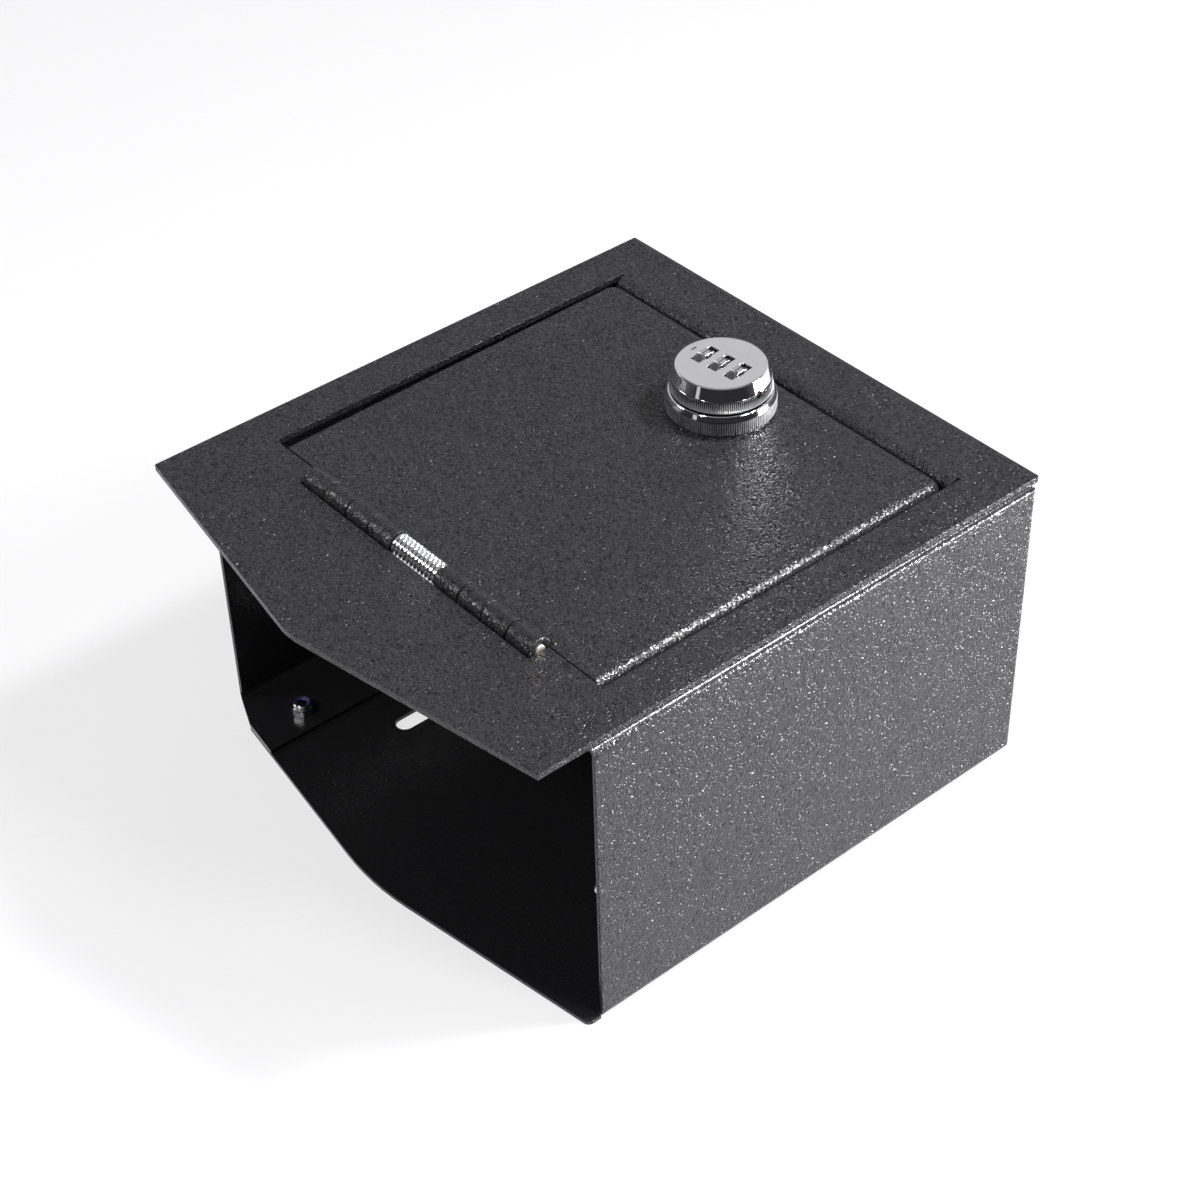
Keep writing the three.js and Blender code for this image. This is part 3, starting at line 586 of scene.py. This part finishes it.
def hinge_spring():
    """One close-wound wire: a leg under the face plate, the coils, and a leg under the lid."""
    left = low("hinge_spring").x - END_REACH + WIRE_R
    right = high("hinge_spring").x + END_REACH - WIRE_R
    front, back = low("hinge_spring").y, high("hinge_spring").y
    coil_r = HINGE.z - low("hinge_spring").z - WIRE_R
    bm = bmesh.new()
    section = bmesh.ops.create_circle(bm, cap_ends=False, segments=WIRE_SIDES, radius=WIRE_R)
    foot = Matrix.Translation((left, front, HINGE.z - coil_r))
    stand = foot @ Matrix.Rotation(math.pi / 2, 4, "X")
    bmesh.ops.transform(bm, matrix=stand, verts=section["verts"])
    start = list({e for v in section["verts"] for e in v.link_edges})
    bmesh.ops.contextual_create(bm, geom=start)

    def run_on(edges, shift):
        moved = bmesh.ops.extrude_edge_only(bm, edges=edges)["geom"]
        verts = [g for g in moved if isinstance(g, bmesh.types.BMVert)]
        bmesh.ops.translate(bm, vec=shift, verts=verts)
        return [g for g in moved if isinstance(g, bmesh.types.BMEdge)
                and all(v in verts for v in g.verts)]

    def wind(edges, share, climb):
        steps = round(COIL_STEPS * share)
        turn = bmesh.ops.spin(
            bm, geom=edges, cent=HINGE, axis=(1, 0, 0), dvec=(climb / steps, 0, 0),
            angle=FULL_TURN * share, steps=steps, use_merge=False, use_duplicate=False,
        )
        return [g for g in turn["geom_last"] if isinstance(g, bmesh.types.BMEdge)]

    ring = run_on(start, (0, HINGE.y - front, 0))
    pitch = (right - left) / (COILS - 1)
    ring = wind(ring, END_TURN, 0)
    for _ in range(COILS - 2):
        ring = wind(ring, CROSS_TURN, pitch)
        ring = wind(ring, 1 - CROSS_TURN, 0)
    ring = wind(ring, CROSS_TURN, pitch)
    ring = wind(ring, END_TURN, 0)
    end = run_on(ring, (0, back - HINGE.y, 0))
    bmesh.ops.contextual_create(bm, geom=end)
    bmesh.ops.recalc_face_normals(bm, faces=bm.faces)
    spring = add_piece(bm, "hinge_spring_piece", None, STEEL, ["hinge_spring"])
    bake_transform(spring)


hinge_pin()
hinge_spring()


# Fasteners of the left wall


M4_RADIUS = 2.0 * MM
M4_PITCH = 0.7 * MM
M4_DEPTH = 0.35 * MM


def clinch_stud(place):
    node = f"clinch_stud_{place}"
    x, y = middle(node).x, middle(node).y
    top = high(node).z
    head_r = (high(node).x - low(node).x) / 2
    head_t = 0.7 * MM
    edge = 0.15 * MM
    head = turned(
        [(0, 0), (head_r - edge, 0), (head_r, edge), (head_r, head_t), (0, head_t)],
        SMALL_SIDES, (x, y, 0),
    )
    shank = threaded(M4_RADIUS, M4_PITCH, M4_DEPTH, head_t / 2, top, x, y)
    add_piece(joined(head, shank), f"{node}_piece", "box", ZINC, [node])


def locking_nut(place):
    """A hexagon under a round collar that is rolled in over the insert."""
    node = f"locking_nut_{place}"
    x, y = middle(node).x, middle(node).y
    bottom, top = low(node).z, high(node).z
    across = high(node).x - low(node).x
    hex_top = bottom + 3.5 * MM
    past_corner = corner_radius(6, across) + 0.1 * MM
    foot_r = across / 2 - 0.05 * MM
    bore = 2.2 * MM
    chamfer = 0.45 * MM
    trim = [
        (0, bottom - MM), (foot_r, bottom - MM), (foot_r, bottom), (past_corner, bottom + chamfer),
        (past_corner, hex_top - chamfer), (across / 2 - 0.1 * MM, hex_top), (0, hex_top),
    ]
    nut = hexagon(across, bottom, hex_top + MM, trim, x, y)
    collar_r = across / 2 - 0.15 * MM
    lip = 2.86 * MM
    neck_r = collar_r - 0.3 * MM
    collar = turned(
        [(bore, hex_top - MM), (neck_r, hex_top - MM),
         (neck_r, hex_top + 0.1 * MM), (collar_r - 0.05 * MM, hex_top + 0.35 * MM),
         (collar_r, top - 0.8 * MM), (collar_r - 0.04 * MM, top - 0.5 * MM),
         (collar_r - 0.14 * MM, top - 0.25 * MM), (collar_r - 0.26 * MM, top - 0.08 * MM),
         (lip + 0.1 * MM, top), (lip, top - 0.12 * MM),
         (lip, hex_top), (bore, hex_top), (bore, hex_top - MM)],
        SMALL_SIDES, (x, y, 0),
    )
    hole = prism(SMALL_SIDES, 2 * bore, bottom - MM, hex_top + 2 * MM, x, y)
    bored = combined(nut, hole, "DIFFERENCE")
    add_piece(joined(bored, collar), f"{node}_piece", "box", ZINC, [node])


def nylon_insert(place):
    node = f"nylon_insert_{place}"
    x, y = middle(node).x, middle(node).y
    bottom, top = low(node).z, high(node).z
    outer, inner = 2.82 * MM, 2.1 * MM
    edge = 0.2 * MM
    insert = turned(
        [(inner, bottom), (outer, bottom), (outer, top - edge), (outer - edge, top),
         (inner + edge, top), (inner, top - edge), (inner, bottom)],
        SMALL_SIDES, (x, y, 0),
    )
    add_piece(insert, f"{node}_piece", "box", NYLON, [node])


for stud_place in ("front", "middle", "rear"):
    clinch_stud(stud_place)
    locking_nut(stud_place)
    nylon_insert(stud_place)


# Lock


WHEELS = ("digit_wheel_1", "digit_wheel_2", "digit_wheel_3")
WHEEL_JOINTS = [JOINT[f"wheel_{number}_spin"] for number in (1, 2, 3)]
AXLE = Vector(WHEEL_JOINTS[0]["axis"])
AXLE_Z = WHEEL_JOINTS[0]["pos_m"][2]
WHEEL_X = [(Vector(joint["pos_m"]) - LOCK).dot(AXLE) for joint in WHEEL_JOINTS]
BODY_PLACE = Matrix.Translation(LOCK)
KNOB_PLACE = BODY_PLACE @ Matrix.Rotation(math.atan2(AXLE.y, AXLE.x), 4, "Z")
KNURL_TEETH = 150
KNURL_DEPTH = 0.45 * MM
AXLE_RISE = AXLE_Z - LID_TOP

# In millimetres above the lid, as in the two turnings
KNOB_TOP = 17.9

# Lowest and highest millimetre above the lid, and share of the knurl's depth
RING_KNURL = ((1.3, 1.4, 0.5), (1.5, 5.7, 1.0), (6.0, 6.1, 0.65), (6.25, 6.35, 0.12))
CAP_KNURL = (
    (9.3, 9.8, 0.55), (9.9, 10.1, 0.8), (10.15, 11.9, 1.0), (12.3, 12.5, 0.7), (12.9, 13.1, 0.35),
)


def knurl(bm, levels):
    """Moves every second column of points inwards, by the depth that its level gives."""
    column_angle = FULL_TURN / (2 * KNURL_TEETH)
    for vert in bm.verts:
        for bottom, top, depth in levels:
            if bottom < vert.co.z / MM < top:
                radius = vert.co.xy.length
                column = round(math.atan2(vert.co.y, vert.co.x) / column_angle)
                if column % 2:
                    vert.co.xy *= (radius - depth * KNURL_DEPTH) / radius


def lathe_about_lock(profile):
    """A turning on the lock's axis whose heights count from the lid's top, in millimetres."""
    scaled = [(r * MM, z * MM) for r, z in profile]
    bm = bmesh.new()
    spin_round(bm, profile_line(bm, scaled), 2 * KNURL_TEETH)
    return bm


def lock_body():
    ring = lathe_about_lock([
        (9, 0.0), (18.15, 0.0), (18.3, 0.15), (18.3, 1.0), (18.8, 1.2), (19.0, 1.35),
        (19.1, 1.6), (19.1, 5.6), (19.0, 6.05), (18.85, 6.3), (18.76, 6.42), (18.65, 6.7),
        (18.2, 7.8), (18.08, 8.15), (17.85, 8.3), (17.5, 8.35), (15.0, 8.35), (14.8, 8.0),
        (14.8, 2.0), (9, 2.0), (9, 0.0),
    ])
    knurl(ring, RING_KNURL)
    ring.transform(BODY_PLACE)
    bottom = low("lock_body").z
    radius, pitch, depth = 9.5 * MM, 1.0 * MM, 0.55 * MM
    barrel = threaded(radius, pitch, depth, bottom, LID_TOP + MM, LOCK.x, LOCK.y, steps=64)
    flat, reach = 8.2 * MM, 12 * MM
    two_flats = block(
        (LOCK.x - flat, LOCK.y - reach, bottom - MM),
        (LOCK.x + flat, LOCK.y + reach, LID_TOP + 2 * MM),
    )
    barrel = combined(barrel, two_flats, "INTERSECT")
    bore = prism(SMALL_SIDES, 10.8 * MM, bottom - MM, LID_TOP + 3 * MM, LOCK.x, LOCK.y)
    barrel = combined(barrel, bore, "DIFFERENCE")
    add_piece(joined(ring, barrel), "lock_body_piece", "lid", CHROME, ["lock_body"])


def lock_knob():
    """The cap with its windows, axle hole and mark. Its upward faces are shaded flat."""
    cap = lathe_about_lock([
        (0, 4.8), (14.4, 4.8), (14.4, 9.0), (17.3, 9.0), (17.58, 9.15), (17.7, 9.4),
        (17.7, 9.75), (17.62, 10.0), (17.6, 10.2), (17.38, 11.8), (17.29, 12.4), (17.2, 13.0),
        (17.12, 13.6), (17.0, 13.75), (15.75, 17.4), (15.62, 17.68), (15.35, 17.84),
        (15.1, KNOB_TOP), (0, KNOB_TOP),
    ])
    knurl(cap, CAP_KNURL)
    face = KNOB_TOP * MM
    half_room, room_reach = 2.1 * MM, 6.3 * MM
    room_floor, room_roof = 3 * MM, face - 1.2 * MM
    half_window, window_reach = 2.0 * MM, 5 * MM
    for x in WHEEL_X:
        room = block((x - half_room, -room_reach, room_floor), (x + half_room, room_reach, room_roof))
        window = block(
            (x - half_window, -window_reach, AXLE_RISE), (x + half_window, window_reach, face + MM)
        )
        cap = combined(combined(cap, room, "DIFFERENCE"), window, "DIFFERENCE")
    hole_r, hole_start, hole_end = 1.3 * MM, -12 * MM, 30 * MM
    hole = turned(
        [(0, hole_start), (hole_r, hole_start), (hole_r, hole_end), (0, hole_end)],
        SMALL_SIDES, (0, 0, AXLE_RISE), along_x=True,
    )
    cap = combined(cap, hole, "DIFFERENCE")
    side, mark_reach = 0.27 * MM, 1.1 * MM
    mark = block((-side, -mark_reach, -side), (side, mark_reach, side))
    shallow = Matrix.Diagonal((1, 1, 0.65, 1)) @ Matrix.Rotation(FULL_TURN / 8, 4, "Y")
    mark.transform(Matrix.Translation((-12.6 * MM, 0, face)) @ shallow)
    cap = combined(cap, mark, "DIFFERENCE")
    bmesh.ops.dissolve_limit(cap, angle_limit=math.radians(0.5), verts=cap.verts, edges=cap.edges)
    rims = [
        e for e in cap.edges
        if e.is_manifold and e.calc_face_angle() > math.radians(60)
        and all(abs(v.co.z - face) < 0.01 * MM and v.co.xy.length < 14 * MM for v in e.verts)
    ]
    bevel_edges(cap, rims, 0.12 * MM)
    cap.transform(KNOB_PLACE)
    knob = add_piece(cap, "lock_knob_piece", "knob", CHROME, ["lock_knob"], crisp=math.radians(32))
    straight_up = 0.9999
    for polygon in knob.data.polygons:
        polygon.use_smooth = polygon.normal.z < straight_up


def wheel_axle():
    start, end = -11.5 * MM, 15.6 * MM
    radius = 1.0 * MM
    edge = 0.2 * MM
    profile = [(0, start), (radius, start), (radius, end - edge), (radius - edge, end), (0, end)]
    axle = turned(profile, SMALL_SIDES, (0, 0, AXLE_RISE), along_x=True)
    axle.transform(KNOB_PLACE)
    add_piece(axle, "wheel_axle_piece", "knob", BRASS, ["wheel_axle"])


DIGITS = 10
DIGIT_HEIGHT = 2.5 * MM

# How high a figure is, as a share of the font's size
FIGURE_SHARE = 0.7

# How many flats the nought lies in front of the top one
FIRST_DIGIT_BACK = 1


def digit_mesh(text):
    """A figure as a thin flat plate, centred on the origin, facing +Z and upright along +Y."""
    curve = bpy.data.curves.new("working", "FONT")
    curve.body = text
    curve.size = DIGIT_HEIGHT / FIGURE_SHARE
    curve.align_x = "CENTER"
    curve.align_y = "CENTER"
    curve.extrude = 0.03 * MM
    curve.resolution_u = 4
    writer = bpy.data.objects.new("working", curve)
    bpy.context.scene.collection.objects.link(writer)
    ready = writer.evaluated_get(bpy.context.evaluated_depsgraph_get())
    bm = bmesh.new()
    bm.from_mesh(ready.to_mesh())
    ready.to_mesh_clear()
    bpy.data.objects.remove(writer)
    bpy.data.curves.remove(curve)
    off = [max(v.co[k] for v in bm.verts) + min(v.co[k] for v in bm.verts) for k in (0, 1)]
    bm.transform(Matrix.Translation((-off[0] / 2, -off[1] / 2, 0)))
    return bm


def digit_wheel(number):
    """A wheel with a flat for each figure and a finger notch between flats."""
    node = WHEELS[number - 1]
    half = 1.8 * MM
    radius = 5.9 * MM
    step = FULL_TURN / DIGITS
    flat = math.radians(13.5)
    notch = 0.4 * MM
    place = KNOB_PLACE @ Matrix.Translation((WHEEL_X[number - 1], 0, AXLE_RISE))
    bm = bmesh.new()
    outline = []
    for i in range(DIGITS):
        for r, turn in ((radius, -flat), (radius, flat), (radius - notch, step / 2)):
            angle = math.pi / 2 + i * step + turn
            outline.append(bm.verts.new((-half, r * math.cos(angle), r * math.sin(angle))))
    face = bm.faces.new(outline)
    side = bmesh.ops.extrude_face_region(bm, geom=[face])["geom"]
    far_verts = [g for g in side if isinstance(g, bmesh.types.BMVert)]
    bmesh.ops.translate(bm, vec=(2 * half, 0, 0), verts=far_verts)
    bmesh.ops.recalc_face_normals(bm, faces=bm.faces)
    bore_r = 1.4 * MM
    bore = turned(
        [(0, -half * 2), (bore_r, -half * 2), (bore_r, half * 2), (0, half * 2)],
        SMALL_SIDES, along_x=True,
    )
    bm = combined(bm, bore, "DIFFERENCE")
    rims = [e for e in bm.edges if e.is_manifold and e.calc_face_angle() > math.radians(25)
            and all(v.co.yz.length > 3 * MM for v in e.verts)]
    bevel_edges(bm, rims, 0.2 * MM)
    bm.transform(place)
    body = f"wheel_{number}"
    add_piece(bm, f"{node}_piece", body, WHEEL_CHROME, [node], crisp=math.radians(30))
    figures = bmesh.new()
    flat_r = radius * math.cos(flat)
    for i in range(DIGITS):
        turn = (i - FIRST_DIGIT_BACK) * step
        figure = digit_mesh(str(i))
        turned_place = place @ Matrix.Rotation(-turn, 4, "X")
        figure.transform(turned_place @ Matrix.Translation((0, 0, flat_r)))
        figures = joined(figures, figure)
    add_piece(figures, f"wheel_{number}_figures", body, FILL)


def lock_nut():
    """A thin hexagonal nut with chamfered corners, bored for the barrel's thread."""
    node = "lock_nut"
    x, y = LOCK.x, LOCK.y
    bottom, top = low(node).z, high(node).z
    across = high(node).x - low(node).x
    chamfer = 1.0 * MM
    bore = 9.8 * MM
    flat_r, past_corner = across / 2 - 0.2 * MM, corner_radius(6, across) + 0.2 * MM
    trim = [
        (0, bottom), (flat_r, bottom), (past_corner, bottom + chamfer),
        (past_corner, top - chamfer), (flat_r, top), (0, top),
    ]
    nut = hexagon(across, bottom - MM, top + MM, trim, x, y)
    nut = combined(nut, prism(SIDES, 2 * bore, bottom - MM, top + MM, x, y), "DIFFERENCE")
    add_piece(nut, f"{node}_piece", "lid", ZINC, [node])


def cam_screw():
    node = "cam_screw"
    bottom, top = low(node).z, high(node).z
    across = high(node).x - low(node).x
    head_top = bottom + 4 * MM
    past_corner = corner_radius(6, across) + 0.2 * MM
    dish = 0.3 * MM
    trim = [
        (0, bottom + dish), (2.6 * MM, bottom + dish), (3.0 * MM, bottom),
        (across / 2 - 0.2 * MM, bottom), (past_corner, bottom + 0.7 * MM),
        (past_corner, head_top), (0, head_top),
    ]
    head = hexagon(across, bottom - MM, head_top + MM, trim, LOCK.x, LOCK.y)
    radius, pitch, depth = 2.7 * MM, 0.9 * MM, 0.4 * MM
    shank = threaded(radius, pitch, depth, head_top - MM, top, LOCK.x, LOCK.y)
    add_piece(joined(head, shank), f"{node}_piece", "knob", ZINC, [node])


lock_body()
lock_knob()
wheel_axle()
for wheel_number in (1, 2, 3):
    digit_wheel(wheel_number)
lock_nut()
cam_screw()
for plain in ("lock_washer", "cam", "cam_washer"):
    refined(plain, ZINC, edge=0.2 * MM)
for inner in ("spindle", "detent_leaf"):
    refined(inner, STEEL, edge=0)


# Camera, floor and lights


AZIMUTH = math.radians(50.49)
ELEVATION = math.radians(39.54)
ROLL = math.radians(-1.6)
CAMERA_PLACE = (0.51769, -0.41706, 0.61567)
FOCAL_LENGTH = 76.16
FILM_WIDTH = 36
NEAREST = 0.01

# Level directions from the object to the backdrop, and back towards the camera
AWAY = (-0.777, 0.629, 0)
TOWARDS = (0.777, -0.629, 0)

MIDDLE = Vector((0, 0, 0.07))

# Direction from the middle and how many times as far, width and height, and power
LAMPS = {
    "low_key": ((1.04, 1.08, 0.08), 1.0, (0.5, 0.3), 64),
    "right_key": ((0.73, 0.22, 0.65), 1.5, (0.3, 0.3), 14),
    "right_box": ((0.36, 0.48, 0.8), 1.5, (0.2, 0.2), 26),
    "left_box": ((0.07, -0.7, 0.7), 1.5, (0.2, 0.35), 9),
    "front_box": ((-0.62, -0.64, 0.42), 1.5, (0.4, 0.3), 5),
    "left_strip": ((-0.08, -1.4, 0.1), 1.0, (0.2, 0.5), 0.2),
}


def camera():
    back = Vector((
        math.sin(AZIMUTH) * math.cos(ELEVATION),
        -math.cos(AZIMUTH) * math.cos(ELEVATION),
        math.sin(ELEVATION),
    ))
    right = Vector((math.cos(AZIMUTH), math.sin(AZIMUTH), 0))
    up = back.cross(right)
    across = math.cos(ROLL) * right + math.sin(ROLL) * up
    upward = math.cos(ROLL) * up - math.sin(ROLL) * right
    lens = bpy.data.cameras.new("camera")
    lens.sensor_width = FILM_WIDTH
    lens.lens = FOCAL_LENGTH
    lens.clip_start = NEAREST
    viewer = bpy.data.objects.new("camera", lens)
    turn = Matrix((across, upward, back)).transposed().to_4x4()
    viewer.matrix_world = Matrix.Translation(CAMERA_PLACE) @ turn
    bpy.context.scene.collection.objects.link(viewer)
    bpy.context.scene.camera = viewer


def lamp(name, direction, distance, size, power):
    """A soft box that faces the middle of the safe."""
    place = MIDDLE + distance * Vector(direction)
    light = bpy.data.lights.new(name, "AREA")
    light.shape = "RECTANGLE"
    light.size, light.size_y = size
    light.energy = power
    box = bpy.data.objects.new(name, light)
    aim = (MIDDLE - place).to_track_quat("-Z", "Y").to_matrix().to_4x4()
    box.matrix_world = Matrix.Translation(place) @ aim
    box.visible_camera = False
    bpy.context.scene.collection.objects.link(box)


def sky():
    """A dark room with a pale backdrop behind the object and a bright ceiling."""
    world = bpy.data.worlds.new("studio")
    bpy.context.scene.world = world
    room = Finish("studio", owner=world)
    direction = room.node("ShaderNodeTexCoord", {}, output="Generated")
    rise = room.coordinate(direction, "Z")
    away = room.vector_math("DOT_PRODUCT", direction, AWAY, output="Value")
    backdrop = rise.between(0.05, 0.3) * (1 - rise.between(0.58, 0.85)) * away.between(-0.2, 0.6)
    ceiling = rise.between(0.7, 0.97)
    room.put(room.shader.inputs["Color"], room.blend(
        backdrop * 0.66 + ceiling * 0.3, (0.03, 0.03, 0.034), (1.0, 1.0, 1.015)
    ))


def table():
    """A pale lit table: its own glow keeps it near white and softens the shadow it shows."""
    paper = Finish("pale_table")
    where = paper.place()
    # near grows towards the camera, where the glow is painted brighter: a painted fall-off of light across the
    # table.
    near = paper.vector_math("DOT_PRODUCT", where, TOWARDS, output="Value")
    reach = paper.vector_math("LENGTH", where, output="Value")
    seen = [
        paper.node("ShaderNodeLightPath", {}, output=kind)
        for kind in ("Is Camera Ray", "Is Glossy Ray", "Is Transmission Ray")
    ]
    shown = seen[0] + (seen[1] + seen[2]) * (1 - reach.between(0.8, 1.5))
    paper.set(
        colour=paper.blend(seen[0] + seen[1] + seen[2], (0.86, 0.86, 0.87), (0.2, 0.2, 0.203)),
        glow_colour=paper.blend(
            shown * (0.92 + near.between(-1.0, 0.4) * 0.08), (0, 0, 0), (0.69, 0.69, 0.695)
        ),
        glow=1.0,
        roughness=0.9,
        gloss=0.1,
    )
    bm = bmesh.new()
    bmesh.ops.create_grid(bm, x_segments=1, y_segments=1, size=12)
    mesh = bpy.data.meshes.new("table")
    bm.to_mesh(mesh)
    bm.free()
    mesh.materials.append(paper.material)
    floor = bpy.data.objects.new("table", mesh)
    bpy.context.scene.collection.objects.link(floor)


camera()
sky()
table()
for lamp_name, settings in LAMPS.items():
    lamp(lamp_name, *settings)
bpy.context.scene.view_settings.view_transform = "Standard"
